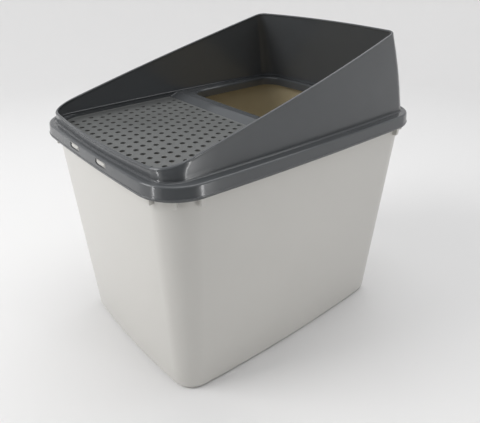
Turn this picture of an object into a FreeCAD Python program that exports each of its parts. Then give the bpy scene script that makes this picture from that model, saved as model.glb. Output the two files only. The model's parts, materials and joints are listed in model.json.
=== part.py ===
"""Top-entry cat litter box: a tapered tub, and a hood with a perforated step and an open-topped surround wall.

Millimetres. The origin is the centre of the tub's flat underside, +Z is up, +Y points to the high back wall,
and the object is symmetric about the plane x = 0.
"""
import FreeCAD, Part
import os
from math import atan2, cos, hypot, sin, sqrt
from FreeCAD import Vector

# ---- driving dimensions -------------------------------------------------------------------------------------------
WALL = 2.6                      # moulded wall thickness of tub and hood

# Hood skirt: the overhanging edge that covers the tub's rim.
SKIRT_Z = 344.5                 # height of the skirt's lower edge
SKIRT_HEIGHT = 20.0             # lower edge to shelf
SKIRT_HALF_WIDTH = 196.5
SKIRT_HALF_LENGTH = 260.0
SKIRT_BOW = 6.5                 # how far the long and short sides swell outwards
SKIRT_CORNER = 62.0
SKIRT_DRAFT = 2.0               # how far the skirt leans in over its height
SHELF_THICKNESS = 2.8
SHELF_ROUND = 2.5               # rounding between skirt and shelf
SHELF_Z = SKIRT_Z + SKIRT_HEIGHT
SHELF_UNDERSIDE_Z = SHELF_Z - SHELF_THICKNESS

# Tub: a bucket that narrows towards its flat underside.
TUB_RIM_Z = SHELF_UNDERSIDE_Z
TUB_FLOOR = 3.0
TUB_BASE_HALF_WIDTH = 166.0
TUB_BASE_HALF_LENGTH = 228.5
TUB_BASE_CORNER = 37.0
TUB_BASE_BOW = 9.5
TUB_BASE_ROUND = 8.0            # rounding of the lower edge
TUB_TOP_HALF_WIDTH = 187.5
TUB_TOP_HALF_LENGTH = 247.4
TUB_TOP_CORNER = 53.5
TUB_TOP_BOW = 7.5
RIM_OVERHANG = 3.2              # rim flange beyond the tub's wall
RIM_THICKNESS = 3.2

# Gussets: three small ribs under the rim flange at each corner.
GUSSET_WIDTH = 7.5
GUSSET_DEPTH = 2.8
GUSSET_DROP = 9.0               # reach below the skirt's edge
GUSSET_ANGLES = (5.0, 37.0, 82.0)
GUSSET_ROOT = 6.0               # how far a rib reaches into the wall, so that it is one with it
GUSSET_FAN_INSET = 1.0          # the fan's centre from the corner's own centre

# Surround wall: low in front, rising in a straight line to the high back.
SURROUND_HALF_WIDTH = 177.0     # outer face where it stands on the shelf
SURROUND_HALF_LENGTH = 248.0
SURROUND_SIDE_BOW = 6.6
SURROUND_FRONT_BOW = 11.0
SURROUND_BACK_BOW = 9.0
SURROUND_FRONT_CORNER = 34.0
SURROUND_BACK_CORNER = 30.0
SURROUND_RISE = 130.0           # shelf to the top edge at the back
SURROUND_FRONT_RISE = 13.5      # shelf to the top edge at the front
TOP_HALF_WIDTH = 163.4          # the same outline at the height of the back's top edge
TOP_FRONT = 242.6
TOP_BACK = 207.5
TOP_FRONT_CORNER = 48.0
TOP_BACK_CORNER = 20.0

# Tray: the recess in the front half of the hood. It hangs inside the tub's rim.
TRAY_FRONT = 243.2              # half-length of its outer face
TRAY_FRONT_CORNER = 46.0

# Perforated step: a drop-in panel on the tray's ledge.
STEP_TOP_Z = SKIRT_Z + 13.0
STEP_THICKNESS = 3.0
TRAY_Z = STEP_TOP_Z - STEP_THICKNESS - WALL
STEP_BACK_Y = -9.5
STEP_CLEARANCE = 0.4
STEP_LEDGE = 9.0                # width of the ledge that carries the panel
HOLE_DIAMETER = 7.8
HOLE_PITCH = 18.95
HOLE_FRONT_ROW_Y = -230.4
HOLE_ROWS = 14
HOLE_MARGIN = 6.0               # least distance from a hole's centre to the panel's edge
HOLE_FIELD_HALF_WIDTH = 156.0   # the holes stop well short of the side walls

# Entry opening in the back half, behind the crossbar.
ENTRY_HALF_WIDTH = 156.0
ENTRY_FRONT_Y = 25.0
ENTRY_BACK_Y = 233.0
ENTRY_CORNER = 28.0
ENTRY_SIDE_BOW = 1.5
ENTRY_FRONT_BOW = 1.0
ENTRY_BACK_BOW = 6.0
ENTRY_LIP = 16.0                # depth of the lip round the opening
CROSSBAR_SLOPE = 16.0           # run of the crossbar's sloping front face

# Front latch: two tongues on the tub's rim, in two slots through the hood's skirt.
TONGUE_X = 41.0
TONGUE_RADIUS = 2.7
TONGUE_LENGTH = 25.0
TONGUE_NECK = 2.0
TONGUE_ROOT = 6.0               # how far the neck reaches into the rim
HINGE_Y = -255.6                # axis that the hood tilts about, through both tongues
HINGE_Z = SKIRT_Z + 13.0
SLOT_LENGTH = 29.0
SLOT_HEIGHT = 8.0
SLOT_CUT_DEPTH = 8.0            # cuts through the skirt and nothing behind it

REACH = 600.0                   # larger than the object, for cutting tools
LAP = 1.0                       # how far joined solids and cutting tools run past a face
TOUCH = 0.01                    # faces and edges closer than this are at the same height


# ---- outlines -----------------------------------------------------------------------------------------------------
def bow_radius(half_span, bow):
    """Radius of an arc that swells by bow over twice half_span."""
    return (half_span ** 2 + bow ** 2) / (2 * bow)


def corner_centre(side_centre, side_reach, end_centre, end_reach):
    """Centre of the corner arc: side_reach from the side arc's centre and end_reach from the end arc's centre.

    Both centres lie on the positive side's own axes, and the result is the one in the outward direction.
    """
    dx = end_centre[0] - side_centre[0]
    dy = end_centre[1] - side_centre[1]
    gap = hypot(dx, dy)
    along = (side_reach ** 2 - end_reach ** 2 + gap ** 2) / (2 * gap)
    across = sqrt(side_reach ** 2 - along ** 2)
    return (side_centre[0] + (along * dx + across * dy) / gap,
            side_centre[1] + (along * dy - across * dx) / gap)


def quarter(half_width, length, side_bow, end_bow, corner):
    """Tangent points and corner centre of one rounded quarter, for the corner at +x, +y."""
    side_r = bow_radius(length, side_bow)
    end_r = bow_radius(half_width, end_bow)
    side_c = (half_width - side_r, 0.0)
    end_c = (0.0, length - end_r)
    centre = corner_centre(end_c, end_r - corner, side_c, side_r - corner)
    side_angle = atan2(centre[1] - side_c[1], centre[0] - side_c[0])
    end_angle = atan2(centre[1] - end_c[1], centre[0] - end_c[0])
    on_side = (side_c[0] + side_r * cos(side_angle), side_c[1] + side_r * sin(side_angle))
    on_end = (end_c[0] + end_r * cos(end_angle), end_c[1] + end_r * sin(end_angle))
    middle = (side_angle + end_angle) / 2
    on_corner = (centre[0] + corner * cos(middle), centre[1] + corner * sin(middle))
    return on_side, on_corner, on_end


def outline(z, half_width, front, back, bows, corners):
    """Closed wire at height z of a rounded rectangle with swelling sides.

    bows are those of the sides, the front and the back; corners are the front and the back radius.
    """
    back_side, back_corner, back_end = quarter(half_width, back, bows[0], bows[2], corners[1])
    front_side, front_corner, front_end = quarter(half_width, front, bows[0], bows[1], corners[0])
    right_back = [Vector(x, y, z) for x, y in (back_side, back_corner, back_end)]
    right_front = [Vector(x, -y, z) for x, y in (front_side, front_corner, front_end)]
    left_back = [Vector(-p.x, p.y, z) for p in right_back]
    left_front = [Vector(-p.x, p.y, z) for p in right_front]
    arcs = [(right_front[0], Vector(half_width, 0, z), right_back[0]),
            right_back,
            (right_back[2], Vector(0, back, z), left_back[2]),
            left_back[::-1],
            (left_back[0], Vector(-half_width, 0, z), left_front[0]),
            left_front,
            (left_front[2], Vector(0, -front, z), right_front[2]),
            right_front[::-1]]
    return Part.Wire([Part.Arc(*arc).toShape() for arc in arcs])


def loft(*wires):
    return Part.makeLoft(list(wires), True, True)


def prism(wire, height):
    return Part.Face(wire).extrude(Vector(0, 0, height))


def block(x0, y0, z0, x1, y1, z1):
    return Part.makeBox(x1 - x0, y1 - y0, z1 - z0, Vector(x0, y0, z0))


# ---- tub ----------------------------------------------------------------------------------------------------------
def tub_outline(z, inset=0.0):
    """The tub's outline at height z, inset from the outer face."""
    t = z / TUB_RIM_Z
    half_width = TUB_BASE_HALF_WIDTH + t * (TUB_TOP_HALF_WIDTH - TUB_BASE_HALF_WIDTH)
    half_length = TUB_BASE_HALF_LENGTH + t * (TUB_TOP_HALF_LENGTH - TUB_BASE_HALF_LENGTH)
    corner = TUB_BASE_CORNER + t * (TUB_TOP_CORNER - TUB_BASE_CORNER)
    bow = TUB_BASE_BOW + t * (TUB_TOP_BOW - TUB_BASE_BOW)
    return outline(z, half_width - inset, half_length - inset, half_length - inset,
                   (bow, bow, bow), (corner - inset, corner - inset))


def rounded_bottom(solid, z, radius):
    """Round the edges of solid that lie at height z."""
    edges = [e for e in solid.Edges if abs(e.BoundBox.ZMin - z) < TOUCH and abs(e.BoundBox.ZMax - z) < TOUCH]
    return solid.makeFillet(radius, edges)


def gussets():
    """Small ribs under the rim flange, fanned round each corner."""
    top = TUB_RIM_Z - RIM_THICKNESS
    foot = SKIRT_Z - GUSSET_DROP
    t = foot / TUB_RIM_Z
    corner = TUB_BASE_CORNER + t * (TUB_TOP_CORNER - TUB_BASE_CORNER)
    centre_x = TUB_TOP_HALF_WIDTH - TUB_TOP_CORNER - GUSSET_FAN_INSET
    centre_y = TUB_TOP_HALF_LENGTH - TUB_TOP_CORNER - GUSSET_FAN_INSET
    ribs = []
    for side in (1, -1):
        for end in (1, -1):
            for angle in GUSSET_ANGLES:
                rib = block(corner - GUSSET_ROOT, -GUSSET_WIDTH / 2, foot,
                            corner + GUSSET_DEPTH, GUSSET_WIDTH / 2, top)
                rib.rotate(Vector(0, 0, 0), Vector(0, 0, 1), angle)
                rib.translate(Vector(centre_x, centre_y, 0))
                if side < 0:
                    rib = rib.mirror(Vector(0, 0, 0), Vector(1, 0, 0))
                if end < 0:
                    rib = rib.mirror(Vector(0, 0, 0), Vector(0, 1, 0))
                ribs.append(rib)
    return ribs


def tongues():
    """Two rounded tongues on thin necks, standing out of the rim at the front."""
    straight = TONGUE_LENGTH / 2 - TONGUE_RADIUS
    pieces = []
    for side in (-1, 1):
        x = side * TONGUE_X
        pieces.append(Part.makeCylinder(TONGUE_RADIUS, 2 * straight,
                                        Vector(x - straight, HINGE_Y, HINGE_Z), Vector(1, 0, 0)))
        for end in (-1, 1):
            pieces.append(Part.makeSphere(TONGUE_RADIUS, Vector(x + end * straight, HINGE_Y, HINGE_Z)))
        pieces.append(block(x - straight, HINGE_Y, HINGE_Z - TONGUE_NECK / 2,
                            x + straight, TONGUE_ROOT - TUB_TOP_HALF_LENGTH, HINGE_Z + TONGUE_NECK / 2))
    return pieces


def make_tub():
    outer = rounded_bottom(loft(tub_outline(0), tub_outline(TUB_RIM_Z)), 0, TUB_BASE_ROUND)
    flange = prism(tub_outline(TUB_RIM_Z, -RIM_OVERHANG), -RIM_THICKNESS)
    cavity = loft(tub_outline(TUB_FLOOR, WALL), tub_outline(TUB_RIM_Z + LAP, WALL))
    cavity = rounded_bottom(cavity, TUB_FLOOR, TUB_BASE_ROUND - WALL)
    return outer.fuse([flange] + gussets() + tongues()).cut(cavity).removeSplitter()


# ---- hood ---------------------------------------------------------------------------------------------------------
def skirt_outline(z, inset=0.0):
    lean = SKIRT_DRAFT * (z - SKIRT_Z) / SKIRT_HEIGHT + inset
    length = SKIRT_HALF_LENGTH - lean
    corner = SKIRT_CORNER - lean
    return outline(z, SKIRT_HALF_WIDTH - lean, length, length, (SKIRT_BOW,) * 3, (corner, corner))


def surround_outline(z, inset=0.0):
    """The surround wall's outline at height z: the wall leans in as it rises, most of all at the back."""
    t = (z - SHELF_Z) / SURROUND_RISE

    def blend(at_shelf, at_top):
        return at_shelf + t * (at_top - at_shelf) - inset

    return outline(z, blend(SURROUND_HALF_WIDTH, TOP_HALF_WIDTH),
                   blend(SURROUND_HALF_LENGTH, TOP_FRONT), blend(SURROUND_HALF_LENGTH, TOP_BACK),
                   (SURROUND_SIDE_BOW, SURROUND_FRONT_BOW, SURROUND_BACK_BOW),
                   (blend(SURROUND_FRONT_CORNER, TOP_FRONT_CORNER), blend(SURROUND_BACK_CORNER, TOP_BACK_CORNER)))


def tray_prism(z, inset, height, back_y):
    """Upright block inside the tray's outline, cut off behind back_y."""
    wire = outline(z, SURROUND_HALF_WIDTH - inset, TRAY_FRONT - inset, SURROUND_HALF_LENGTH - inset,
                   (SURROUND_SIDE_BOW, SURROUND_FRONT_BOW, SURROUND_BACK_BOW),
                   (TRAY_FRONT_CORNER - inset, SURROUND_BACK_CORNER - inset))
    return prism(wire, height).common(block(-REACH, -REACH, 0, REACH, back_y, REACH))


def above_top_edge():
    """Everything above the surround's top edge: a wedge with a sloping underside."""
    front_t = SURROUND_FRONT_RISE / SURROUND_RISE
    front_y = -(SURROUND_HALF_LENGTH + front_t * (TOP_FRONT - SURROUND_HALF_LENGTH))
    slope = (SURROUND_RISE - SURROUND_FRONT_RISE) / (TOP_BACK - front_y)
    low = SHELF_Z + SURROUND_FRONT_RISE - slope * (REACH + front_y)
    high = SHELF_Z + SURROUND_FRONT_RISE + slope * (REACH - front_y)
    corners = [(-REACH, low), (REACH, high), (REACH, high + REACH), (-REACH, high + REACH)]
    wire = Part.makePolygon([Vector(-REACH, y, z) for y, z in corners + corners[:1]])
    return Part.Face(wire).extrude(Vector(2 * REACH, 0, 0))


def entry_outline(z, outset=0.0):
    """Rounded rectangle round the entry opening."""
    half_length = (ENTRY_BACK_Y - ENTRY_FRONT_Y) / 2 + outset
    corner = ENTRY_CORNER + outset
    wire = outline(z, ENTRY_HALF_WIDTH + outset, half_length, half_length,
                   (ENTRY_SIDE_BOW, ENTRY_FRONT_BOW, ENTRY_BACK_BOW), (corner, corner))
    wire.translate(Vector(0, (ENTRY_BACK_Y + ENTRY_FRONT_Y) / 2, 0))
    return wire


def crossbar():
    """Bent strip that rises from the back of the tray to the plate in front of the entry opening."""
    front = STEP_BACK_Y
    knee = front + CROSSBAR_SLOPE
    joined = knee + 2 * SHELF_THICKNESS
    section = [(front, TRAY_Z), (front, STEP_TOP_Z), (knee, SHELF_Z), (joined, SHELF_Z),
               (joined, SHELF_UNDERSIDE_Z), (knee + LAP, SHELF_UNDERSIDE_Z),
               (front + WALL, STEP_TOP_Z - WALL / 2), (front + WALL, TRAY_Z)]
    wire = Part.makePolygon([Vector(-REACH, y, z) for y, z in section + section[:1]])
    strip = Part.Face(wire).extrude(Vector(2 * REACH, 0, 0))
    return strip.common(tray_prism(TRAY_Z, WALL / 2, SHELF_Z - TRAY_Z, REACH))


def tray():
    """Walls and ledge of the tray under the plate."""
    back_y = STEP_BACK_Y + CROSSBAR_SLOPE + 2 * SHELF_THICKNESS
    depth = SHELF_Z - TRAY_Z
    walls = tray_prism(TRAY_Z, 0, depth - LAP, back_y).cut(tray_prism(TRAY_Z - LAP, WALL, depth + 2 * LAP, REACH))
    ledge = tray_prism(TRAY_Z, WALL / 2, WALL, STEP_BACK_Y + WALL / 2)
    return walls.fuse(ledge.cut(tray_prism(TRAY_Z - LAP, WALL + STEP_LEDGE, 2 * WALL, STEP_BACK_Y - STEP_LEDGE)))


def make_hood():
    skirt = loft(skirt_outline(SKIRT_Z), skirt_outline(SHELF_Z))
    top_edges = [e for e in skirt.Edges if abs(e.BoundBox.ZMin - SHELF_Z) < TOUCH]
    skirt = skirt.makeFillet(SHELF_ROUND, top_edges)
    skirt = skirt.cut(loft(skirt_outline(SKIRT_Z - LAP, WALL), skirt_outline(SHELF_UNDERSIDE_Z, WALL)))

    peak = SHELF_Z + SURROUND_RISE + 2 * LAP
    wall = loft(surround_outline(SHELF_Z - LAP), surround_outline(peak)).cut(above_top_edge())
    wall = wall.cut(loft(surround_outline(SHELF_Z - 2 * LAP, WALL), surround_outline(peak + LAP, WALL)))

    recess_back = STEP_BACK_Y + CROSSBAR_SLOPE + SHELF_THICKNESS
    plate = skirt.cut(tray_prism(SKIRT_Z, WALL, 2 * SKIRT_HEIGHT, recess_back))
    lip = prism(entry_outline(SHELF_Z - ENTRY_LIP, WALL), ENTRY_LIP)
    hood = plate.fuse([wall, tray(), crossbar(), lip])
    opening = prism(entry_outline(SHELF_Z - 2 * ENTRY_LIP), 3 * ENTRY_LIP)
    return hood.cut([opening] + slots()).removeSplitter()


def slots():
    """Two obround slots through the front of the skirt."""
    radius = SLOT_HEIGHT / 2
    straight = SLOT_LENGTH / 2 - radius
    tools = []
    for side in (-1, 1):
        x = side * TONGUE_X
        start = HINGE_Y - SLOT_CUT_DEPTH / 2
        tool = block(x - straight, start, HINGE_Z - radius,
                     x + straight, start + SLOT_CUT_DEPTH, HINGE_Z + radius)
        for end in (-1, 1):
            tool = tool.fuse(Part.makeCylinder(radius, SLOT_CUT_DEPTH, Vector(x + end * straight, start, HINGE_Z),
                                               Vector(0, 1, 0)))
        tools.append(tool)
    return tools


# ---- perforated step ----------------------------------------------------------------------------------------------
def make_perforated_step():
    """Flat panel with round holes in staggered rows."""
    bottom = STEP_TOP_Z - STEP_THICKNESS
    edge_inset = WALL + STEP_CLEARANCE
    panel = tray_prism(bottom, edge_inset, STEP_THICKNESS, STEP_BACK_Y - STEP_CLEARANCE)
    field = tray_prism(bottom, edge_inset + HOLE_MARGIN, STEP_THICKNESS, STEP_BACK_Y - HOLE_MARGIN)
    row_gap = HOLE_PITCH * sqrt(3) / 2
    columns = int(HOLE_FIELD_HALF_WIDTH / HOLE_PITCH) + 1
    holes = []
    for row in range(HOLE_ROWS):
        y = HOLE_FRONT_ROW_Y + row * row_gap
        shift = 0.5 if row % 2 == 0 else 0.0
        for column in range(-columns, columns + 1):
            x = (column + shift) * HOLE_PITCH
            if abs(x) < HOLE_FIELD_HALF_WIDTH and field.isInside(Vector(x, y, bottom + LAP), TOUCH, True):
                holes.append(Part.makeCylinder(HOLE_DIAMETER / 2, STEP_THICKNESS + 2 * LAP,
                                               Vector(x, y, bottom - LAP)))
    return panel.cut(Part.makeCompound(holes))


# ---- files --------------------------------------------------------------------------------------------------------
os.makedirs("parts", exist_ok=True)
NODES = {"tub": make_tub, "hood": make_hood, "perforated_step": make_perforated_step}
for name, make in NODES.items():
    shape = make()
    shape.exportStep(f"parts/{name}.step")
    print(name, len(shape.Solids), "solid", round(shape.Volume / 1000), "cm3", shape.isValid(), shape.BoundBox)
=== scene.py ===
"""Top-entry cat litter box: the visible tub, hood and perforated step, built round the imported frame.

Every length in the mesh code is in millimetres and is turned to metres when a mesh is made. The origin is
the centre of the tub's underside, +Z is up and +Y points to the high back wall.
"""
import json
from math import atan2, cos, hypot, pi, radians, sin, sqrt

import bmesh
import bpy
from bpy.props import FloatProperty, FloatVectorProperty, IntProperty, PointerProperty
from mathutils import Matrix, Vector
from mathutils.geometry import delaunay_2d_cdt


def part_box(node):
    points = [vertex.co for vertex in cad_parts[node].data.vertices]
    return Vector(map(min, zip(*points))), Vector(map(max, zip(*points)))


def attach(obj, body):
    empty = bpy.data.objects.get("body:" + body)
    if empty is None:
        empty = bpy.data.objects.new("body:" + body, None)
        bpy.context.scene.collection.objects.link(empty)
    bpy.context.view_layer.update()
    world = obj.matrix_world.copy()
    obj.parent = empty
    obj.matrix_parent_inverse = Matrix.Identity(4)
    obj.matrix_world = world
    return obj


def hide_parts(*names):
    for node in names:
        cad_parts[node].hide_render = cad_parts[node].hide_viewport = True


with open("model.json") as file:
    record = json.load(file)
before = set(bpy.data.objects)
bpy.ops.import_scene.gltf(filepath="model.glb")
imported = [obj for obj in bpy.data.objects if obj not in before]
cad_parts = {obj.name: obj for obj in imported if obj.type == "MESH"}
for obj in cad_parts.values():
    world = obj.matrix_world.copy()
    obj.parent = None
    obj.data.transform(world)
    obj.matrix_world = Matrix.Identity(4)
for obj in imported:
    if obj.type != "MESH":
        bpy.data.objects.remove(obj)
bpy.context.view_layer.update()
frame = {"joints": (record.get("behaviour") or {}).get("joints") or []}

bl_info = {
    "name": "Top-entry litter box",
    "version": (1, 0, 0),
    "blender": (4, 5, 0),
    "location": "3D View > Sidebar > Litter box",
    "description": "Builds a moulded top-entry litter box: tub, hood and perforated step",
    "category": "Add Mesh",
}

MM = 0.001
HOOD_LOW, HOOD_HIGH = (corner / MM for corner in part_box("hood"))
STEP_LOW, STEP_HIGH = (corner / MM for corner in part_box("perforated_step"))
TUB_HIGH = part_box("tub")[1] / MM
HINGE = Vector(frame["joints"][0]["pos_m"]) / MM

SKIRT_HEIGHT = 20.0
SHELF_Z = HOOD_LOW.z + SKIRT_HEIGHT
UNDERSIDE_Z = TUB_HIGH.z
STEP_TOP = STEP_HIGH.z
STEP_BACK = STEP_HIGH.y
CROSSBAR_FRONT = STEP_BACK + 0.4
CROSSBAR_SLOPE = 16.0

# Outlines. Bows say how far the sides, the front and the back swell. A pair holds a value at the bottom
# and at the top; the surround wall's bottom is the shelf, and its top is the highest point of the back.
SKIRT_HALF_WIDTH = 196.5
SKIRT_CORNER = 62.0
SKIRT_BOWS = (6.5, 6.5, 6.5)
WALL_HALF_WIDTH = (177.0, 163.4)
WALL_FRONT = (248.0, 242.6)
WALL_BACK = (248.0, 207.5)
WALL_BOWS = (6.6, 11.0, 9.0)
WALL_FRONT_CORNER = (34.0, 62.0)
WALL_BACK_CORNER = (30.0, 16.0)
WALL_HEIGHT_IN_FRONT = 13.5
# The front corners open out from the first share of the wall's height on, over the second.
OPENING_START, OPENING_RUN = 0.06, 0.26
TUB_HALF_WIDTH = (166.0, 187.5)
TUB_HALF_LENGTH = (228.5, 247.4)
TUB_CORNER = (37.0, 53.5)
TUB_BOW = (9.5, 7.5)

TRAY_FRONT = 243.2
TRAY_FRONT_CORNER = 46.0
LEDGE_WIDTH = 9.0
LEDGE_THICKNESS = 2.6
LEDGE_END = -7.0
ENTRY_FRONT, ENTRY_BACK = 25.0, 233.0
ENTRY_HALF_WIDTH = 156.0
ENTRY_CORNER = 28.0
ENTRY_SIDE_BOW, ENTRY_FRONT_BOW, ENTRY_BACK_BOW = 1.5, 1.0, 6.0
LIP_DEPTH = 16.0
PLATE_LIFT = 0.3
TONGUE_X = 41.0
SLOT_LENGTH, SLOT_HEIGHT = 29.0, 8.0

# Steps along the side, the corner and the end of each quarter of an outline.
SIDE_STEPS, CORNER_STEPS, END_STEPS = 9, 16, 10
# Distances behind the middle, and in front of it, at which the sides get extra points round the crossbar.
BACK_STATIONS = (0.0, 1.5, 3.0, 3.8, 4.6, 5.4, 6.2, 7.0, 7.8, 8.6, 9.4, 10.5, 13.0, 20.0)
FRONT_STATIONS = (0.0, 2.0, 4.0, 6.0, 8.0, -CROSSBAR_FRONT, 12.0, 16.0, 24.0)
ENTRY_STATIONS = (0.0, 20.0)
# Points nearer than NEAR count as one when outlines are compared. OVERLAP is how far faces that would lie
# in one plane are kept apart, so that solids join cleanly.
NEAR = 0.02
OVERLAP = 0.05


# ---- outlines ------------------------------------------------------------------------------------
def between(pair, share):
    """Value at share of the way from the first of pair to the second."""
    return pair[0] + share * (pair[1] - pair[0])


def eased(share):
    """Share kept between 0 and 1, with a soft start and a soft end."""
    share = min(1.0, max(0.0, share))
    return share * share * (3 - 2 * share)


def bow_radius(half_span, bow):
    """Radius of an arc that swells by bow over twice half_span."""
    return (half_span ** 2 + bow ** 2) / (2 * bow)


def quarter(half_width, length, side_bow, end_bow, corner, stations):
    """Points of one rounded quarter from (half_width, 0) to (0, length).

    stations are distances along y at which the long side gets extra points.
    """
    side_r = bow_radius(length, side_bow)
    end_r = bow_radius(half_width, end_bow)
    side_x = half_width - side_r
    end_y = length - end_r

    # The corner's centre is where both arcs, each made smaller by the corner's radius, meet.
    gap = hypot(side_x, end_y)
    side_reach = side_r - corner
    end_reach = end_r - corner
    along = (end_reach ** 2 - side_reach ** 2 + gap ** 2) / (2 * gap)
    across = sqrt(end_reach ** 2 - along ** 2)
    ux, uy = side_x / gap, -end_y / gap
    cx = along * ux + across * uy
    cy = end_y + along * uy - across * ux
    side_angle = atan2(cy, cx - side_x)
    end_angle = atan2(cy - end_y, cx)

    last = stations[-1]
    rest = side_r * sin(side_angle) - last
    ys = list(stations) + [last + rest * k / SIDE_STEPS for k in range(1, SIDE_STEPS)]
    points = [(side_x + sqrt(side_r ** 2 - y ** 2), y) for y in ys]
    for k in range(CORNER_STEPS + 1):
        angle = side_angle + (end_angle - side_angle) * k / CORNER_STEPS
        points.append((cx + corner * cos(angle), cy + corner * sin(angle)))
    for k in range(1, END_STEPS + 1):
        angle = end_angle + (pi / 2 - end_angle) * k / END_STEPS
        points.append((end_r * cos(angle), end_y + end_r * sin(angle)))
    points[-1] = (0.0, length)
    return points


def all_round(behind, ahead):
    """Closed outline, anticlockwise from the right, of two quarters and their mirror images."""
    return (behind[:-1]
            + [(-x, y) for x, y in behind[:0:-1]]
            + [(-x, -y) for x, y in ahead[:-1]]
            + [(x, -y) for x, y in ahead[:0:-1]])


def outline(half_width, front, back, bows, corners):
    """Closed rounded rectangle with swelling sides.

    bows are those of the side, the front and the back, corners are the front and the back radius.
    """
    side_bow, front_bow, back_bow = bows
    front_corner, back_corner = corners
    return all_round(quarter(half_width, back, side_bow, back_bow, back_corner, BACK_STATIONS),
                     quarter(half_width, front, side_bow, front_bow, front_corner, FRONT_STATIONS))


def inside(point, polygon):
    """Whether a point lies inside a closed polygon."""
    x, y = point
    found = False
    for (x0, y0), (x1, y1) in zip(polygon, polygon[1:] + polygon[:1]):
        if (y0 > y) != (y1 > y) and x < x0 + (x1 - x0) * (y - y0) / (y1 - y0):
            found = not found
    return found


# ---- mesh helpers --------------------------------------------------------------------------------
# Points nearer than WELD become one, and edges shorter than SLIVER are removed.
WELD, SLIVER = 0.003, 0.001
# Faces that meet at less than this angle, in degrees, are shaded as one surface.
SMOOTH_ANGLE = 35


class Shell:
    """Faces gathered in millimetres, joined where their points meet."""

    def __init__(self):
        self.mesh = bmesh.new()

    def verts(self, points):
        return [self.mesh.verts.new(p) for p in points]

    def face(self, corners, index=0):
        if len(set(corners)) > 2:
            face = self.mesh.faces.new(corners)
            face.material_index = index

    def sweep(self, rings, closed=True, index=0):
        """Quads between rings that hold the same number of points."""
        made = [self.verts(ring) for ring in rings]
        count = len(made[0])
        for low, high in zip(made, made[1:]):
            for k in range(count if closed else count - 1):
                n = (k + 1) % count
                self.face((low[k], low[n], high[n], high[k]), index)
        return made

    def cap(self, ring, index=0):
        self.face(self.verts(ring), index)

    def sheet(self, loops, height, keep, index=0):
        """Triangles of a region. loops are rows of (x, y), height gives z and keep picks triangles."""
        points, edges = [], []
        for loop in loops:
            start = len(points)
            points += [Vector(p) for p in loop]
            edges += [(start + k, start + (k + 1) % len(loop)) for k in range(len(loop))]
        verts, _, faces, *_ = delaunay_2d_cdt(points, edges, [], 1, 1e-5)
        made = self.verts([(v.x, v.y, height(v.x, v.y)) for v in verts])
        for face in faces:
            centre = sum((verts[k] for k in face), Vector((0, 0))) / len(face)
            if keep(centre):
                self.face([made[k] for k in face], index)

    def object(self, name):
        """The finished mesh as an object, in metres."""
        bmesh.ops.remove_doubles(self.mesh, verts=self.mesh.verts, dist=WELD)
        bmesh.ops.dissolve_degenerate(self.mesh, edges=self.mesh.edges, dist=SLIVER)
        bmesh.ops.recalc_face_normals(self.mesh, faces=self.mesh.faces)
        bmesh.ops.scale(self.mesh, vec=(MM, MM, MM), verts=self.mesh.verts)
        data = bpy.data.meshes.new(name)
        self.mesh.to_mesh(data)
        self.mesh.free()
        made = bpy.data.objects.new(name, data)
        bpy.context.scene.collection.objects.link(made)
        return made


def arc(centre, radius, start, end, steps):
    """Points (offset, z) along an arc, angles in degrees."""
    angles = [radians(start + (end - start) * k / steps) for k in range(steps + 1)]
    return [(centre[0] + radius * cos(a), centre[1] + radius * sin(a)) for a in angles]


def combine(target, tool, operation):
    """Joins or cuts target with tool, and removes tool."""
    bpy.context.view_layer.update()
    modifier = target.modifiers.new(operation.title(), "BOOLEAN")
    modifier.operation = operation
    modifier.solver = "EXACT"
    modifier.object = tool
    evaluated = target.evaluated_get(bpy.context.evaluated_depsgraph_get())
    data = bpy.data.meshes.new_from_object(evaluated)
    target.modifiers.clear()
    target.data = data
    bpy.data.objects.remove(tool)


def smooth(made):
    """Smooth shading, weighted by face area so that flat faces stay flat."""
    made.data.shade_smooth()
    made.data.set_sharp_from_angle(angle=radians(SMOOTH_ANGLE))
    weighted = made.modifiers.new("Weighted normals", "WEIGHTED_NORMAL")
    weighted.keep_sharp = True
    weighted.weight = 80


# ---- sizes that a user can change ----------------------------------------------------------------
def length_of(name, description, value, low=0.0):
    return FloatProperty(name=name, description=description, default=value * MM, min=low * MM,
                         unit="LENGTH", subtype="DISTANCE", precision=4)


def linear(hex_colour):
    """Linear colour of an sRGB hex value."""
    parts = [int(hex_colour[k:k + 2], 16) / 255 for k in (1, 3, 5)]
    return [c / 12.92 if c <= 0.04045 else ((c + 0.055) / 1.055) ** 2.4 for c in parts]


def colour_of(name, description, hex_colour):
    return FloatVectorProperty(name=name, description=description, default=linear(hex_colour), size=3,
                               min=0.0, max=1.0, subtype="COLOR")


class LitterBoxTub(bpy.types.PropertyGroup):
    wall: length_of("Wall", "Thickness of the moulded wall", 2.6)
    floor: length_of("Floor", "Thickness of the floor", 3.0)
    rim: length_of("Rim overhang", "How far the rim flange stands beyond the wall", 3.2)
    bottom_round: length_of("Bottom rounding", "Radius of the lower outer edge", 8.0)
    gusset_width: length_of("Gusset width", "Width of each small rib under the rim", 6.5)
    gusset_depth: length_of("Gusset depth", "How far each rib stands out of the corner", 3.4)
    tongue_length: length_of("Tongue length", "Length of each tongue that the hood hooks over", 22.5)
    tongue_radius: length_of("Tongue radius", "Radius of each rounded tongue", 2.7)


class LitterBoxHood(bpy.types.PropertyGroup):
    wall: length_of("Wall", "Thickness of the moulded wall", 2.6)
    rim: length_of("Rolled rim", "How much thicker the surround wall is along its top edge", 0.8)
    edge_bead: length_of("Edge bead", "Radius of the bead above the skirt's lower edge", 0.9)
    foot_bead: length_of("Foot bead", "Height of the bead at the foot of the surround wall", 1.0)
    groove: length_of("Groove", "Depth of the groove beside the foot bead", 0.7)
    cove: length_of("Cove", "Radius between the surround wall and the floor", 2.6)
    lip_round: length_of("Entry rounding", "Radius of the rounded edge of the entry", 4.0)
    bulge: length_of("Bulge", "How far the surround wall swells at mid height", 2.8)


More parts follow.
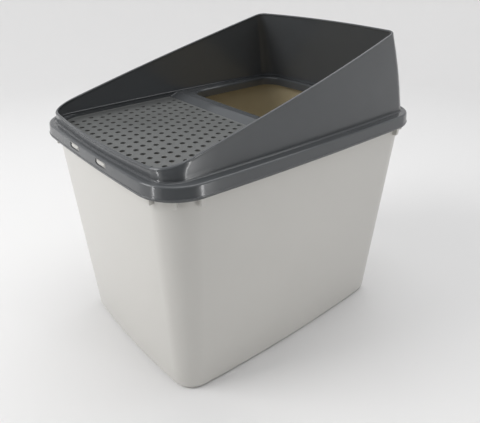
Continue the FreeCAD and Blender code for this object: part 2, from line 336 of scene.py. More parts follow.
class LitterBoxStep(bpy.types.PropertyGroup):
    hole: length_of("Hole", "Diameter of each hole", 7.8)
    pitch: length_of("Pitch", "Distance between neighbouring holes", 18.95)
    chamfer: length_of("Chamfer", "Rounding of each hole's upper edge", 0.5)
    border: length_of("Border", "Width of the raised border along the back edge", 7.0)
    rows: IntProperty(name="Rows", description="Rows of holes, front to back", default=14, min=1, max=40)


class LitterBoxFinish(bpy.types.PropertyGroup):
    tub: colour_of("Tub", "Colour of the tub", "#C7C5C0")
    # Painted shade: the tub's inside is the same plastic as its outside. This darker, warmer colour paints
    # the shade inside the tub and the warm light that comes through its wall.
    tub_inside_painted_shade: colour_of("Tub inside", "Colour of the tub's inner face, lit through the wall", "#B3A688")
    hood: colour_of("Hood", "Colour of the hood", "#505254")
    step: colour_of("Step", "Colour of the perforated step", "#626362")
    floor: colour_of("Studio floor", "Colour of the floor and backdrop", "#E6E5E4")


# ---- materials -----------------------------------------------------------------------------------
def add_node(tree, kind, settings=None, inputs=None):
    """Adds a node, sets its properties, and sets or links its inputs."""
    node = tree.nodes.new(kind)
    for name, value in (settings or {}).items():
        setattr(node, name, value)
    for name, value in (inputs or {}).items():
        if isinstance(value, bpy.types.NodeSocket):
            tree.links.new(value, node.inputs[name])
        else:
            node.inputs[name].default_value = value
    return node


def new_material(name):
    """An empty material, its node tree, and the socket that gives places on the object in metres."""
    made = bpy.data.materials.new(name)
    made.use_nodes = True
    tree = made.node_tree
    tree.nodes.clear()
    place = add_node(tree, "ShaderNodeTexCoord")
    return made, tree, place.outputs["Object"]


# Sizes of the patterns in millimetres. Scuffs run mostly along y, and are drawn wider than real hairlines.
FLOW_MM = 90
SCUFF_MM = (0.8, 12.5, 2.0)
ROLLER_MM = 5


def moulded_polypropylene(name, colour, roughness, spread, texture_mm, depth_mm, tint, coat=0.0, glow=0.0):
    """Injection-moulded polypropylene.

    The polished mould leaves a gloss whose sharpness drifts slowly over the surface and a fine orange-peel
    texture, and use adds a faint haze of short hairline scuffs. The gloss drifts by spread and the colour by
    tint, texture_mm and depth_mm are the size of the orange peel, and glow stands for daylight that comes
    through an unpigmented wall.
    """
    made, tree, place = new_material(name)
    flow = add_node(tree, "ShaderNodeTexNoise", inputs={
        "Vector": place, "Scale": 1000 / FLOW_MM, "Detail": 3.0, "Roughness": 0.55})
    gloss = add_node(tree, "ShaderNodeMapRange", {"interpolation_type": "SMOOTHSTEP"}, {
        "Value": flow.outputs["Fac"], "From Min": 0.25, "From Max": 0.75,
        "To Min": roughness - spread, "To Max": roughness + spread})
    lengthwise = add_node(tree, "ShaderNodeMapping", inputs={
        "Vector": place, "Scale": [1000 / length for length in SCUFF_MM]})
    scuffs = add_node(tree, "ShaderNodeTexNoise", inputs={
        "Vector": lengthwise.outputs["Vector"], "Scale": 1.0, "Detail": 2.0, "Roughness": 0.6})
    haze = add_node(tree, "ShaderNodeMapRange", {"interpolation_type": "SMOOTHSTEP"}, {
        "Value": scuffs.outputs["Fac"], "From Min": 0.5, "From Max": 0.8,
        "To Min": 0.0, "To Max": spread})
    rough = add_node(tree, "ShaderNodeMath", {"operation": "ADD"}, {
        0: gloss.outputs["Result"], 1: haze.outputs["Result"]})
    tone = add_node(tree, "ShaderNodeMapRange", inputs={
        "Value": flow.outputs["Fac"], "From Min": 0.3, "From Max": 0.7,
        "To Min": 1.0 - tint, "To Max": 1.0 + tint})
    shade = add_node(tree, "ShaderNodeMix", {"data_type": "RGBA", "blend_type": "MULTIPLY"}, {
        "Factor": 1.0, "A": (*colour, 1.0), "B": tone.outputs["Result"]})
    peel = add_node(tree, "ShaderNodeTexNoise", inputs={
        "Vector": place, "Scale": 1000 / texture_mm, "Detail": 2.0, "Roughness": 0.5})
    bump = add_node(tree, "ShaderNodeBump", inputs={
        "Strength": 0.5, "Distance": depth_mm * MM, "Height": peel.outputs["Fac"]})
    shader = add_node(tree, "ShaderNodeBsdfPrincipled", inputs={
        "Base Color": shade.outputs["Result"], "Roughness": rough.outputs["Value"], "IOR": 1.49,
        "Normal": bump.outputs["Normal"], "Coat Weight": coat, "Coat Roughness": 0.08,
        "Emission Color": (*colour, 1.0), "Emission Strength": glow})
    add_node(tree, "ShaderNodeOutputMaterial", inputs={"Surface": shader.outputs["BSDF"]})
    return made


def painted_sweep(name, colour):
    """Matt paint put on with a roller: even and without gloss, with the faintest texture."""
    made, tree, place = new_material(name)
    roller = add_node(tree, "ShaderNodeTexNoise", inputs={
        "Vector": place, "Scale": 1000 / ROLLER_MM, "Detail": 2.0, "Roughness": 0.5})
    bump = add_node(tree, "ShaderNodeBump", inputs={
        "Strength": 0.05, "Distance": 0.1 * MM, "Height": roller.outputs["Fac"]})
    shader = add_node(tree, "ShaderNodeBsdfPrincipled", inputs={
        "Base Color": (*colour, 1.0), "Roughness": 0.75, "IOR": 1.45, "Normal": bump.outputs["Normal"]})
    add_node(tree, "ShaderNodeOutputMaterial", inputs={"Surface": shader.outputs["BSDF"]})
    return made


# ---- the hood --------------------------------------------------------------------------------------
def skirt_ring(inset, z):
    length = HOOD_HIGH.y - inset
    corner = SKIRT_CORNER - inset
    ring = outline(SKIRT_HALF_WIDTH - inset, length, length, SKIRT_BOWS, (corner, corner))
    return [(x, y, z) for x, y in ring]


def surround(z, inset):
    """The surround wall's outline at height z. Its front corners open out soon above the shelf."""
    t = (z - SHELF_Z) / (HOOD_HIGH.z - SHELF_Z)
    opened = eased((t - OPENING_START) / OPENING_RUN)
    corners = (between(WALL_FRONT_CORNER, opened) - inset, between(WALL_BACK_CORNER, t) - inset)
    return outline(between(WALL_HALF_WIDTH, t) - inset, between(WALL_FRONT, t) - inset,
                   between(WALL_BACK, t) - inset, WALL_BOWS, corners)


def tray_outline(inset):
    """The tray's outline: it follows the foot of the surround wall, a little further in at the front."""
    return outline(WALL_HALF_WIDTH[0] - inset, TRAY_FRONT - inset, WALL_BACK[0] - inset, WALL_BOWS,
                   (TRAY_FRONT_CORNER - inset, WALL_BACK_CORNER[0] - inset))


def top_edge(y):
    """Height of the surround wall's top edge at y."""
    height = HOOD_HIGH.z - SHELF_Z
    front_y = -between(WALL_FRONT, WALL_HEIGHT_IN_FRONT / height)
    slope = (height - WALL_HEIGHT_IN_FRONT) / (WALL_BACK[1] - front_y)
    return SHELF_Z + WALL_HEIGHT_IN_FRONT + slope * (y - front_y)


def wall_ring(inset, drop, share, bulge):
    """Ring on the surround wall. share runs from 0 at the shelf to 1 at the top edge, less drop."""
    points = []
    for k in range(len(surround(SHELF_Z, inset))):
        # The top edge's height depends on y, and the outline on the height: four rounds settle both.
        z = SHELF_Z
        for _ in range(4):
            x, y = surround(z, inset)[k]
            z = SHELF_Z + share * (top_edge(y) - drop - SHELF_Z)
        height = (z - SHELF_Z) / (HOOD_HIGH.z - SHELF_Z)
        swell = bulge * 4 * height * (1 - height)
        reach = hypot(x, y)
        points.append((x + swell * x / reach, y + swell * y / reach, z))
    return points


def floor_z(y):
    """Height of the hood's floor: the step's level, the crossbar's slope, and the shelf's level behind."""
    slope = (SHELF_Z - STEP_TOP) / CROSSBAR_SLOPE
    knee = CROSSBAR_FRONT + CROSSBAR_SLOPE
    soft = 3.0
    if y >= knee + soft:
        return SHELF_Z
    if y > knee - soft:
        return SHELF_Z - slope * (knee + soft - y) ** 2 / (4 * soft)
    return STEP_TOP + slope * (max(y, CROSSBAR_FRONT) - CROSSBAR_FRONT)


def entry(outset):
    """Rounded rectangle round the entry opening."""
    middle = (ENTRY_FRONT + ENTRY_BACK) / 2
    half_width = ENTRY_HALF_WIDTH + outset
    half_length = (ENTRY_BACK - ENTRY_FRONT) / 2 + outset
    corner = ENTRY_CORNER + outset
    behind, ahead = (quarter(half_width, half_length, ENTRY_SIDE_BOW, end_bow, corner, ENTRY_STATIONS)
                     for end_bow in (ENTRY_BACK_BOW, ENTRY_FRONT_BOW))
    return [(x, y + middle) for x, y in all_round(behind, ahead)]


def hood_shell(sizes):
    """Skirt, shelf, surround wall, tray wall and ledge, as one closed section swept round the hood."""
    wall = sizes.wall / MM
    bead = sizes.edge_bead / MM
    foot = sizes.foot_bead / MM
    groove = sizes.groove / MM
    bulge = sizes.bulge / MM
    rim = sizes.rim / MM
    base = HOOD_LOW.z

    # Skirt: inner face, rounded lower edge, bead and leaning outer face. Pairs are insets and heights.
    edge = 1.0
    shoulder = 3.0
    section = [(wall + 0.6, UNDERSIDE_Z), (wall + 0.4, base + 1.2)]
    section += arc((bead + 1.1, base + edge), edge, 0, -180, 8)
    section.append((bead, base + 2.3))
    section += arc((bead, base + 3.6), bead, 270, 90, 8)
    section += [(bead + 0.15, base + 5.2), (bead + 0.5, base + 10.0), (bead + 1.1, base + 16.0)]
    section += arc((bead + 1.2 + shoulder, SHELF_Z - shoulder), shoulder, 180, 90, 7)
    rings = [skirt_ring(inset, z) for inset, z in section]

    # Shelf: it runs in to a groove and a bead at the wall's foot. Pairs are distances out and heights.
    section = [(foot + 3.6, SHELF_Z), (foot + 3.1, SHELF_Z - 0.1), (foot + 2.7, SHELF_Z - groove * 0.5),
               (foot + 2.3, SHELF_Z - groove), (foot + 1.8, SHELF_Z - groove),
               (foot + 1.2, SHELF_Z - groove * 0.7)]
    section += arc((foot * 0.55, SHELF_Z), foot, 0, 100, 7)
    rings += [[(x, y, z) for x, y in surround(SHELF_Z, -out)] for out, z in section]

    # Surround wall: outer face, rolled rim that stands a little out and in, and inner face.
    overhang = 0.25
    middle, reach = (wall + rim - overhang) / 2, (wall + rim + overhang) / 2
    half_turn = [radians(180 * k / 10) for k in range(11)]
    shares = (0.16, 0.3, 0.45, 0.6, 0.75)
    rings += [wall_ring(0.0, 2.5, share, bulge) for share in shares + (0.9,)]
    rings += [wall_ring(0.0, 2.9, 1.0, bulge), wall_ring(-overhang, 2.2, 1.0, bulge)]
    rings += [wall_ring(middle - reach * cos(a), reach * (1 - sin(a)), 1.0, bulge) for a in half_turn]
    rings += [wall_ring(wall + rim, 3.0, 1.0, bulge), wall_ring(wall, 4.0, 1.0, bulge)]
    rings += [wall_ring(wall, 4.2, share, bulge) for share in (0.92,) + shares[::-1]]

    # Bead at the wall's inner foot. Pairs are heights above the shelf and distances in.
    for rise, into in ((2.9, 0.0), (2.5, 0.6), (1.8, 1.0), (1.1, 1.0), (0.5, 0.6), (0.2, 0.1)):
        rings.append([(x, y, SHELF_Z + rise) for x, y in surround(SHELF_Z + rise, wall + into)])

    # Tray: it hangs below the shelf in front, and fades into the plate behind the crossbar. Depths are 0
    # behind and 1 in front.
    fade_end, fade_length = 8.0, 14.0
    depths = [round(eased((fade_end - y) / fade_length), 3) for _, y in tray_outline(0.0)]

    def tray_ring(inset_front, inset_back, z_front, z_back):
        shapes = {depth: tray_outline(between((inset_back, inset_front), depth)) for depth in set(depths)}
        return [(*shapes[depth][k], between((z_back, z_front), depth)) for k, depth in enumerate(depths)]

    ledge_top = STEP_LOW.z
    ledge_low = ledge_top - wall
    rings += [
        tray_ring(wall, wall, STEP_TOP + 5.0, SHELF_Z - 0.4),
        tray_ring(wall, wall, ledge_top, SHELF_Z - 0.6),
        tray_ring(wall + LEDGE_WIDTH, wall + 1.0, ledge_top, SHELF_Z - 0.7),
        tray_ring(wall + LEDGE_WIDTH, wall + 1.0, ledge_low, UNDERSIDE_Z + 0.2),
        tray_ring(0.0, 0.0, ledge_low, UNDERSIDE_Z + OVERLAP),
        tray_ring(0.0, 0.0, UNDERSIDE_Z - 0.02, UNDERSIDE_Z),
        rings[0],
    ]
    shell = Shell()
    shell.sweep(rings)
    return shell.object("hood_shell")


def under_z(y):
    """Height of the plate's underside, which goes down to the tray's ledge under the crossbar."""
    if y < LEDGE_END:
        return STEP_LOW.z - LEDGE_THICKNESS + OVERLAP
    return floor_z(y) - SHELF_Z + UNDERSIDE_Z + PLATE_LIFT


def plate_columns(sizes):
    """Sections round the plate's outer edge, from right to left round the back.

    Each runs from the floor's edge up the cove, into the wall and down.
    """
    wall = sizes.wall / MM
    cove = sizes.cove / MM
    foot = [p for p in surround(SHELF_Z, wall + cove) if p[1] >= CROSSBAR_FRONT - NEAR]
    deep = [p for p in surround(SHELF_Z, wall / 2) if p[1] >= CROSSBAR_FRONT - NEAR]
    turn = next(k for k, p in enumerate(foot) if p[0] < 0 and abs(p[1] - CROSSBAR_FRONT) < NEAR) + 1
    cove_turn = [radians(78 * k / 6) for k in range(7)]
    columns = []
    for (fx, fy), (dx, dy) in zip(foot[turn:] + foot[:turn], deep[turn:] + deep[:turn]):
        z = floor_z(fy)
        column = []
        for a in cove_turn:
            share = sin(a) * cove / (wall / 2 + cove)
            column.append((fx + share * (dx - fx), fy + share * (dy - fy), z + cove * (1 - cos(a))))
        inner_z = min(z - 1.0, STEP_LOW.z + 1.0) if dy < 0 else z - 1.0
        column += [(dx, dy, z + cove), (dx, dy, inner_z), (dx, dy, under_z(dy))]
        columns.append(column)
    return columns


def hood_plate(sizes):
    """Crossbar, plate and lip of the entry."""
    wall = sizes.wall / MM
    lip = sizes.lip_round / MM
    columns = plate_columns(sizes)

    # Front of the crossbar, from the left wall to the right one. The first sections at each end are close
    # together, so that the ledge below starts just inside the walls.
    left, right = columns[-1][0][0], columns[0][0][0]
    span = right - left
    ends = (0.03, 0.05, 1.0)
    front_xs = [*ends, *(span * k / 24 for k in range(1, 24)), *(span - x for x in reversed(ends))]
    soft = 0.7
    quarter_turn = [radians(15 * k) for k in range(7)]
    crest = floor_z(CROSSBAR_FRONT + soft)
    ledge_z = STEP_LOW.z - OVERLAP
    for x in front_xs:
        column = [(left + x, CROSSBAR_FRONT + soft * (1 - sin(a)), crest - soft * (1 - cos(a)))
                  for a in quarter_turn]
        ledge_y = CROSSBAR_FRONT - (LEDGE_WIDTH if 0.04 <= x <= span - 0.04 else 0.0)
        column += [(left + x, CROSSBAR_FRONT, ledge_z), (left + x, ledge_y, ledge_z),
                   (left + x, ledge_y, under_z(CROSSBAR_FRONT))]
        columns.append(column)
    rings = [list(ring) for ring in zip(*columns)]
    shell = Shell()
    shell.sweep(rings)

    def across(ring, ys):
        """Lines from side to side between the points of ring at the given distances along y."""
        lines = []
        for y in ys:
            ends = [(px, py) for px, py, _ in ring if abs(py - y) < NEAR]
            if len(ends) == 2:
                lines.append(ends)
        return lines

    # Top of the plate between the coves and the entry's rounded edge.
    top_loop = [(x, y) for x, y, _ in rings[0]]
    opening = entry(lip)
    shell.sheet([top_loop, opening] + across(rings[0], BACK_STATIONS[1:12]), lambda x, y: floor_z(y),
                lambda c: inside(c, top_loop) and not inside(c, opening))

    # Underside, and the lip that hangs from it.
    low_loop = [(x, y) for x, y, _ in rings[-1]]
    skin = entry(wall)
    low_lines = across(rings[-1], (-8.0, -6.0) + BACK_STATIONS[:12])
    shell.sheet([low_loop, skin] + low_lines, lambda x, y: under_z(y),
                lambda c: inside(c, low_loop) and not inside(c, skin))
    lip_low = SHELF_Z - LIP_DEPTH
    section = arc((lip, SHELF_Z - lip), lip, 90, 180, 8)
    section += [(0.0, lip_low + 1.0), (0.3, lip_low + 0.3), (1.0, lip_low), (wall - 0.8, lip_low),
                (wall - 0.2, lip_low + 0.3), (wall, lip_low + 1.0), (wall, UNDERSIDE_Z + PLATE_LIFT)]
    shell.sweep([[(x, y, z) for x, y in entry(offset)] for offset, z in section])
    return shell.object("hood_plate")


def obround(x, y_values, z, length, height, outsets):
    """Closed bar with rounded ends along x, whose section grows by outsets at y_values."""
    straight = length / 2 - height / 2
    half_turn = [radians(180 * k / 16) for k in range(17)]
    rings = []
    for y, outset in zip(y_values, outsets):
        radius = height / 2 + outset
        rings.append([(x + side * (straight + radius * sin(a)), y, z + side * radius * cos(a))
                      for side in (1, -1) for a in half_turn])
    shell = Shell()
    shell.sweep(rings)
    shell.cap(rings[0])
    shell.cap(rings[-1])
    return shell.object("obround")


# ---- the step --------------------------------------------------------------------------------------
STEP_INSET = 3.0
FIRST_ROW_Y = -230.4
FIELD_HALF_WIDTH = 156.0
FIELD_BORDER = 6.0
HALF_COLUMNS = 9
HOLE_SIDES = 24


def step_outline(inset):
    """The panel's outline: the tray's, cut straight across at the back.

    Returns the points, and for each whether it faces a wall of the tray.
    """
    ring = tray_outline(STEP_INSET + inset)
    back = STEP_BACK - inset
    last_y = back - 0.5
    count = len(ring)
    start = next(k for k in range(count)
                 if ring[k][1] < last_y and ring[k - 1][1] >= last_y and ring[k][0] < 0)
    points = []
    for k in range(count):
        x, y = ring[(start + k) % count]
        if y >= last_y:
            break
        points.append((x, y))
    walled = [True] * len(points)
    across = 24
    end_x = abs(points[0][0]) + 0.02
    span = [(end_x - 2 * end_x * k / across, back) for k in range(across + 1)]
    return points + span, walled + [False] * (across + 1)


def perforated_step(sizes):
    radius = sizes.hole / MM / 2
    pitch = sizes.pitch / MM
    chamfer = sizes.chamfer / MM
    top, low = STEP_TOP, STEP_LOW.z
    field, _ = step_outline(FIELD_BORDER)
    row_gap = pitch * sqrt(3) / 2
    centres = []
    for row in range(sizes.rows):
        y = FIRST_ROW_Y + row * row_gap
        shift = 0.5 if row % 2 == 0 else 0.0
        for column in range(-HALF_COLUMNS, HALF_COLUMNS + 1):
            x = (column + shift) * pitch
            if abs(x) < FIELD_HALF_WIDTH and inside((x, y), field):
                centres.append((x, y))

    def circle(centre, r):
        turns = [2 * pi * k / HOLE_SIDES for k in range(HOLE_SIDES)]
        return [(centre[0] + r * cos(a), centre[1] + r * sin(a)) for a in turns]

    def solid(centre, r):
        """Whether a triangle's centre is outside every hole, a little less for the holes' flat sides."""
        return all(hypot(centre[0] - x, centre[1] - y) > r * 0.985 for x, y in centres)

    shell = Shell()
    mouth = radius + chamfer
    cove = 1.3
    gap = 0.2
    edge = 0.8
    upper, walled = step_outline(cove + gap)
    lower, _ = step_outline(edge)
    shell.sheet([upper] + [circle(c, mouth) for c in centres], lambda x, y: top,
                lambda c: inside(c, upper) and solid(c, mouth))
    shell.sheet([lower] + [circle(c, radius) for c in centres], lambda x, y: low,
                lambda c: inside(c, lower) and solid(c, radius))
    section = [(mouth, top), (mouth - 0.45 * chamfer, top - 0.15 * chamfer), (radius, top - chamfer),
               (radius, low)]
    for c in centres:
        shell.sweep([[(x, y, z) for x, y in circle(c, r)] for r, z in section])

    # Edge: a cove where the panel meets the tray's walls, and a low border along the crossbar. Each entry is
    # an inset, a rise beside the walls and a rise along the crossbar.
    section = [(cove + gap, 0.0, 0.0)]
    section += [(gap + cove * (1 - sin(radians(a))), cove * (1 - cos(radians(a))), rise)
                for a, rise in ((20, 0.15), (40, 0.4), (60, 0.55), (78, 0.5), (88, 0.35))]
    section += [(0.1, cove, 0.2), (0.0, cove - 0.3, 0.0), (0.0, 0.0, -0.6)]
    rings = []
    for inset, beside_wall, along_bar in section:
        points, _ = step_outline(inset)
        rings.append([(x, y, top + (beside_wall if at_wall else along_bar))
                      for (x, y), at_wall in zip(points, walled)])
    rings += [[(x, y, z) for x, y in step_outline(inset)[0]]
              for inset, z in ((0.0, low + edge), (0.25, low + 0.25), (edge, low))]
    shell.sweep(rings)
    return shell.object("perforated_step_panel")


# ---- the tub ---------------------------------------------------------------------------------------
# Heights at which the wall gets a ring of points.
WALL_HEIGHTS = (40, 80, 130, 180, 230, 280, 320, 345)
# The ribs start this far below the hood's edge. Angles are from the side towards the end of the tub.
GUSSET_DROP = 13.0
GUSSET_ANGLES = (5.0, 43.0, 82.0)
NECK_HALF_THICKNESS = 1
NECK_ROOT_INSET = 6.7


def tub_ring(z, inset):
    t = z / UNDERSIDE_Z
    half_length = between(TUB_HALF_LENGTH, t) - inset
    corner = between(TUB_CORNER, t) - inset
    ring = outline(between(TUB_HALF_WIDTH, t) - inset, half_length, half_length,
                   (between(TUB_BOW, t),) * 3, (corner, corner))
    return [(x, y, z) for x, y in ring]


def tub_body(sizes):
    """Bucket with a rounded lower edge, a rim flange and a floor. Pairs are insets and heights."""
    wall = sizes.wall / MM
    floor = sizes.floor / MM
    rim = sizes.rim / MM
    low_r = sizes.bottom_round / MM
    inside_r = low_r - wall + 1.0
    top = UNDERSIDE_Z
    outer = arc((low_r, low_r), low_r, 270, 180, 12)
    outer += [(0.0, z) for z in WALL_HEIGHTS]
    outer += [(0.0, top - 4.0), (-0.3, top - 3.4), (-rim + 0.8, top - 3.2), (-rim + 0.2, top - 3.0),
              (-rim, top - 2.4), (-rim, top - 0.9), (-rim + 0.25, top - 0.3), (-rim + 0.9, top)]
    inner = [(wall - 1.0, top), (wall - 0.3, top - 0.25), (wall, top - 1.0)]
    inner += [(wall, z) for z in reversed(WALL_HEIGHTS)]
    inner += [(wall + inset, floor + z) for inset, z in arc((inside_r, inside_r), inside_r, 180, 270, 10)]
    outer_rings = [tub_ring(z, inset) for inset, z in outer]
    inner_rings = [tub_ring(z, inset) for inset, z in inner]
    shell = Shell()
    shell.sweep(outer_rings + inner_rings[:2])
    # The inner faces take the second material, which paints the shade inside the tub and the light that
    # comes through its wall.
    shell.sweep(inner_rings[1:], index=1)
    shell.cap(outer_rings[0])
    shell.cap(inner_rings[-1], index=1)
    return shell.object("litter_tub")


def tub_gussets(sizes):
    """Small ribs with rounded feet, fanned round each corner under the rim."""
    width = sizes.gusset_width / MM
    depth = sizes.gusset_depth / MM
    top = UNDERSIDE_Z - 2.0
    foot = HOOD_LOW.z - GUSSET_DROP
    corner = between(TUB_CORNER, foot / UNDERSIDE_Z)
    cx, cy = (reach[1] - TUB_CORNER[1] - 1.0 for reach in (TUB_HALF_WIDTH, TUB_HALF_LENGTH))
    soft = 0.6
    # Each entry is a height, how far out the rib stands, and how much narrower it is on each side.
    sections = ((foot - 0.5, -0.5, 1.3), (foot, depth * 0.55, 0.7), (foot + 1.2, depth * 0.9, 0.25),
                (foot + 3.0, depth, 0.0), (top, depth, 0.0))
    shell = Shell()
    for side in (1, -1):
        for end in (1, -1):
            for a in map(radians, GUSSET_ANGLES):
                rings = []
                for z, reach, shrink in sections:
                    half = width / 2 - shrink
                    out = corner + reach
                    edge = [(corner - 5.0, half), (out - soft, half),
                            (out - 0.2, half - 0.2), (out, half - soft)]
                    local = [(u, -v) for u, v in edge] + edge[::-1]
                    rings.append([(side * (cx + u * cos(a) - v * sin(a)),
                                   end * (cy + u * sin(a) + v * cos(a)), z) for u, v in local])
                shell.sweep(rings)
                shell.cap(rings[0])
                shell.cap(rings[-1])
    return shell.object("gussets")


def tub_tongues(sizes):
    """Two rounded tongues, turned round the hinge's axis."""
    radius = sizes.tongue_radius / MM
    straight = sizes.tongue_length / MM / 2 - radius
    quarter_turn = [radians(90 * k / 8) for k in range(9)]
    turns = [2 * pi * k / 20 for k in range(20)]
    shell = Shell()
    for side in (-1, 1):
        x = side * TONGUE_X
        ball = [(straight + radius * sin(a), max(radius * cos(a), 0.02)) for a in quarter_turn]
        profile = [(x - reach, r) for reach, r in reversed(ball)] + [(x + reach, r) for reach, r in ball]
        rings = [[(px, HINGE.y + r * cos(a), HINGE.z + r * sin(a)) for a in turns] for px, r in profile]
        shell.sweep(rings)
        shell.cap(rings[0])
        shell.cap(rings[-1])
    return shell.object("tongues")


def tub_necks(sizes):
    """Thin necks that join the tongues to the tub's front wall."""
    straight = sizes.tongue_length / MM / 2 - sizes.tongue_radius / MM
    low, high = HINGE.z - NECK_HALF_THICKNESS, HINGE.z + NECK_HALF_THICKNESS
    root = NECK_ROOT_INSET - TUB_HALF_LENGTH[1]
    shell = Shell()
    for side in (-1, 1):
        left, right = side * TONGUE_X - straight, side * TONGUE_X + straight
        rings = [[(left, y, low), (right, y, low), (right, y, high), (left, y, high)]
                 for y in (HINGE.y, root)]
        shell.sweep(rings)
        shell.cap(rings[0])
        shell.cap(rings[-1])
    return shell.object("necks")


# ---- operators ------------------------------------------------------------------------------------
class LITTERBOX_OT_tub(bpy.types.Operator):
    """Builds the tub with its rim, gussets and tongues"""
    bl_idname = "litterbox.tub"
    bl_label = "Tub"

    def execute(self, context):
        sizes = context.scene.litter_box_tub
        finish = context.scene.litter_box_finish
        tub = tub_body(sizes)
        tub.data.materials.append(moulded_polypropylene(
            "moulded_natural_polypropylene", finish.tub, roughness=0.34, spread=0.03,
            texture_mm=2.4, depth_mm=0.003, tint=0.01, coat=0.25))
        # Painted shade and painted glow: the inner faces get a darker, warmer copy of the tub plastic, which
        # glows faintly to paint daylight coming through the wall.
        tub.data.materials.append(moulded_polypropylene(
            "moulded_natural_polypropylene_painted_shade_lit_through", finish.tub_inside_painted_shade, roughness=0.36, spread=0.03,
            texture_mm=2.4, depth_mm=0.002, tint=0.02, glow=0.045))
        combine(tub, tub_gussets(sizes), "UNION")
        combine(tub, tub_necks(sizes), "UNION")
        combine(tub, tub_tongues(sizes), "UNION")
        smooth(tub)
        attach(tub, "tub")
        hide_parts("tub")
        return {"FINISHED"}


class LITTERBOX_OT_hood(bpy.types.Operator):
    """Builds the hood: skirt, shelf, surround wall, crossbar and entry"""
    bl_idname = "litterbox.hood"
    bl_label = "Hood"

    def execute(self, context):
        sizes = context.scene.litter_box_hood
        finish = context.scene.litter_box_finish
        hood = hood_shell(sizes)
        combine(hood, hood_plate(sizes), "UNION")
        # Each slot is 0.9 mm wider all round in the skirt's outer face than behind it.
        depths = (HINGE.y - 9.0, HOOD_LOW.y + 0.7, HOOD_LOW.y + 2.6, HINGE.y + 4.0)
        outsets = (0.9, 0.9, 0.0, 0.0)
        for side in (-1, 1):
            slot = obround(side * TONGUE_X, depths, HINGE.z, SLOT_LENGTH, SLOT_HEIGHT, outsets)
            combine(hood, slot, "DIFFERENCE")
        hood.name = "surround_hood"
        hood.data.materials.clear()
        hood.data.materials.append(moulded_polypropylene(
            "moulded_dark_grey_polypropylene", finish.hood, roughness=0.20, spread=0.03,
            texture_mm=1.2, depth_mm=0.008, tint=0.03, coat=0.14))
        smooth(hood)
        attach(hood, "hood")
        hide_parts("hood")
        return {"FINISHED"}


class LITTERBOX_OT_step(bpy.types.Operator):
    """Builds the perforated step panel"""
    bl_idname = "litterbox.step"
    bl_label = "Perforated step"

    def execute(self, context):
        step = perforated_step(context.scene.litter_box_step)
        finish = context.scene.litter_box_finish
        step.data.materials.append(moulded_polypropylene(
            "satin_dark_grey_polypropylene", finish.step, roughness=0.38, spread=0.05,
            texture_mm=0.9, depth_mm=0.03, tint=0.03))
        smooth(step)
        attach(step, "hood")
        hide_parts("perforated_step")
        return {"FINISHED"}


def area_light(name, place, aim, size, power, spread=180.0):
    """Adds a light of size (across, along) in metres and power in watts. spread is in degrees."""
    data = bpy.data.lights.new(name, "AREA")
    data.shape = "RECTANGLE"
    data.size, data.size_y = size
    data.energy = power
    data.spread = radians(spread)
    light = bpy.data.objects.new(name, data)
    light.visible_camera = False
    light.location = place
    light.rotation_euler = (Vector(aim) - Vector(place)).to_track_quat("-Z", "Y").to_euler()
    bpy.context.scene.collection.objects.link(light)


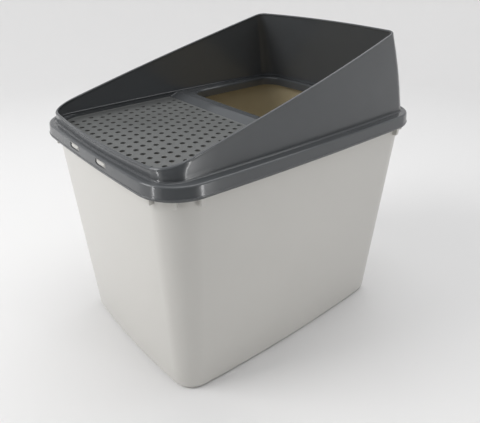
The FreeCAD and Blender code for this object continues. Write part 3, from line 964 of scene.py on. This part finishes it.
class LITTERBOX_OT_stage(bpy.types.Operator):
    """Builds the studio sweep, the lights and the camera"""
    bl_idname = "litterbox.stage"
    bl_label = "Stage"

    def execute(self, context):
        scene = context.scene
        finish = scene.litter_box_finish

        # Sweep: a round floor whose edge curves up into a low wall, so that it looks alike from every side.
        flat, bend, wall_top = 1800.0, 900.0, 1600.0
        section = [(1.0, 0.0), (600.0, 0.0), (1200.0, 0.0), (flat, 0.0)]
        section += [(flat + bend * sin(a), bend - bend * cos(a)) for a in map(radians, range(6, 91, 6))]
        section += [(flat + bend, wall_top)]
        turns = [radians(angle) for angle in range(0, 360, 4)]
        rings = [[(r * cos(a), r * sin(a), z) for a in turns] for r, z in section]
        shell = Shell()
        shell.sweep(rings)
        shell.cap(rings[0])
        sweep = shell.object("studio_sweep")
        if sweep.data.polygons[0].normal.z < 0:
            sweep.data.flip_normals()
        sweep.data.shade_smooth()
        sweep.data.materials.append(painted_sweep("matt_painted_sweep", finish.floor))

        # Flag: a black card behind the camera that keeps the corner facing it dark between the two strips.
        distance, card_low, card_high = 1250.0, 5.0, 1000.0
        turns = [radians(angle) for angle in range(20, 89, 4)]
        shell = Shell()
        rings = [[(distance * sin(a), -distance * cos(a), z) for a in turns]
                 for z in (card_low, card_high)]
        shell.sweep(rings, closed=False)
        flag = shell.object("black_flag")
        flag.visible_camera = False
        flag.data.materials.append(painted_sweep("matt_black_card", linear("#0A0A0A")))

        world = bpy.data.worlds.new("studio")
        scene.world = world
        world.use_nodes = True
        sky = world.node_tree.nodes["Background"]
        sky.inputs["Color"].default_value = (0.9, 0.92, 0.95, 1.0)
        sky.inputs["Strength"].default_value = 0.58

        area_light("key", place=(-0.9, -1.9, 1.9), aim=(0.0, -0.1, 0.2), size=(1.3, 1.3), power=33.0)
        area_light("top", place=(0.0, 0.6, 2.4), aim=(0.0, 0.0, 0.3), size=(2.2, 2.2), power=26.0)
        area_light("front strip", place=(0.10, -1.15, 0.28), aim=(0.15, -0.24, 0.37), size=(0.035, 0.5),
                   power=0.22, spread=80.0)
        area_light("right strip", place=(1.10, 0.175, 0.28), aim=(0.17, -0.2, 0.38), size=(0.09, 0.5),
                   power=0.52, spread=90.0)

        # Camera: in front and to the right, looking down at the middle of the box.
        azimuth, elevation, roll = radians(50.55), radians(27.86), radians(-0.28)
        back = Vector((sin(azimuth) * cos(elevation), -cos(azimuth) * cos(elevation), sin(elevation)))
        right = Vector((cos(azimuth), sin(azimuth), 0.0))
        up = back.cross(right)
        target_height, target_right, distance = 0.188, 0.00794, 0.908
        target = Vector((0.0, 0.0, target_height)) + right * target_right
        turned_right = right * cos(roll) + up * sin(roll)
        turned_up = up * cos(roll) - right * sin(roll)
        data = bpy.data.cameras.new("camera")
        data.sensor_width = 36.0
        data.lens = 37.32
        data.shift_x = 0.0046
        data.shift_y = -0.0088
        camera = bpy.data.objects.new("camera", data)
        matrix = Matrix((turned_right, turned_up, back)).transposed().to_4x4()
        matrix.translation = target + back * distance
        camera.matrix_world = matrix
        scene.collection.objects.link(camera)
        scene.camera = camera
        scene.view_settings.view_transform = "Standard"
        return {"FINISHED"}


class LITTERBOX_PT_build(bpy.types.Panel):
    """Sizes, colours and build buttons of the litter box"""
    bl_label = "Litter box"
    bl_idname = "LITTERBOX_PT_build"
    bl_space_type = "VIEW_3D"
    bl_region_type = "UI"
    bl_category = "Litter box"

    def draw(self, context):
        for operator in OPERATORS:
            self.layout.operator(operator.bl_idname)
        for name in GROUPS:
            group = getattr(context.scene, name)
            box = self.layout.box()
            for prop in group.bl_rna.properties.keys():
                if prop not in ("rna_type", "name"):
                    box.prop(group, prop)


OPERATORS = (LITTERBOX_OT_tub, LITTERBOX_OT_hood, LITTERBOX_OT_step, LITTERBOX_OT_stage)
GROUPS = {
    "litter_box_tub": LitterBoxTub,
    "litter_box_hood": LitterBoxHood,
    "litter_box_step": LitterBoxStep,
    "litter_box_finish": LitterBoxFinish,
}


def register():
    for group in GROUPS.values():
        bpy.utils.register_class(group)
    for name, group in GROUPS.items():
        setattr(bpy.types.Scene, name, PointerProperty(type=group))
    for operator in OPERATORS:
        bpy.utils.register_class(operator)
    bpy.utils.register_class(LITTERBOX_PT_build)


def unregister():
    bpy.utils.unregister_class(LITTERBOX_PT_build)
    for operator in reversed(OPERATORS):
        bpy.utils.unregister_class(operator)
    for name, group in GROUPS.items():
        delattr(bpy.types.Scene, name)
        bpy.utils.unregister_class(group)


def main():
    register()
    bpy.ops.litterbox.tub()
    bpy.ops.litterbox.hood()
    bpy.ops.litterbox.step()
    bpy.ops.litterbox.stage()


if __name__ == "__main__":
    main()
